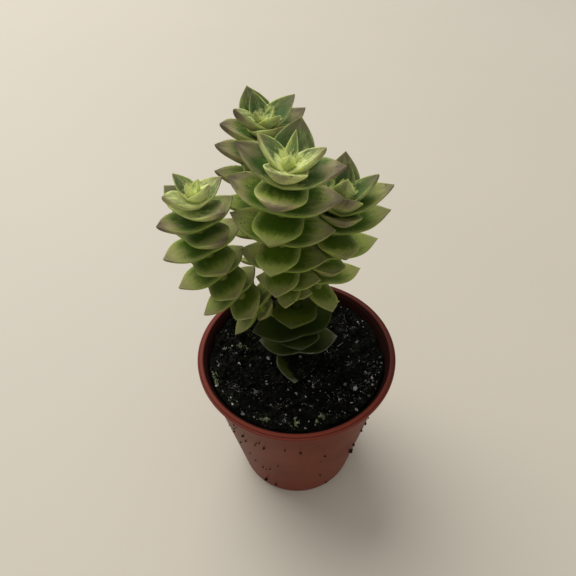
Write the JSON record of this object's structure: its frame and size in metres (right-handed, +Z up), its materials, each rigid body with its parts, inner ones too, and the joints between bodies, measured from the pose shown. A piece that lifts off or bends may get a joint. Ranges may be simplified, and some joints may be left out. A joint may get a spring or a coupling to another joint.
{
  "type": "potted string of buttons",
  "caption": "Small potted succulent: a dark old stem in peat soil carrying upright variegated branches of stacked leaf pairs, in a round tapered nursery pot with a flat rim.",
  "frame": {"origin": "centre of the flat disc in the middle of the pot's underside, on the surface that the pot stands on", "axes": "+Z up along the pot's axis, -Y towards the plant's front, where the lowest old leaf lies on the soil, +X to its right"},
  "size_m": [0.0574, 0.0593, 0.116],
  "materials": {
    "terracotta_plastic": "satin injection-moulded polypropylene, terracotta brown",
    "peat_soil": "near-black peat with perlite",
    "old_leaf": "dark green waxy skin",
    "variegated_leaf": "yellow-green and blue-green waxy skin with rosy margins"
  },
  "bodies": {
    "root": {"pot": "terracotta_plastic", "soil": "peat_soil", "mother_stem": "old_leaf", "branch_front": "variegated_leaf", "branch_left": "variegated_leaf", "branch_right": "variegated_leaf", "branch_back": "variegated_leaf"}
  },
  "joints": []
}
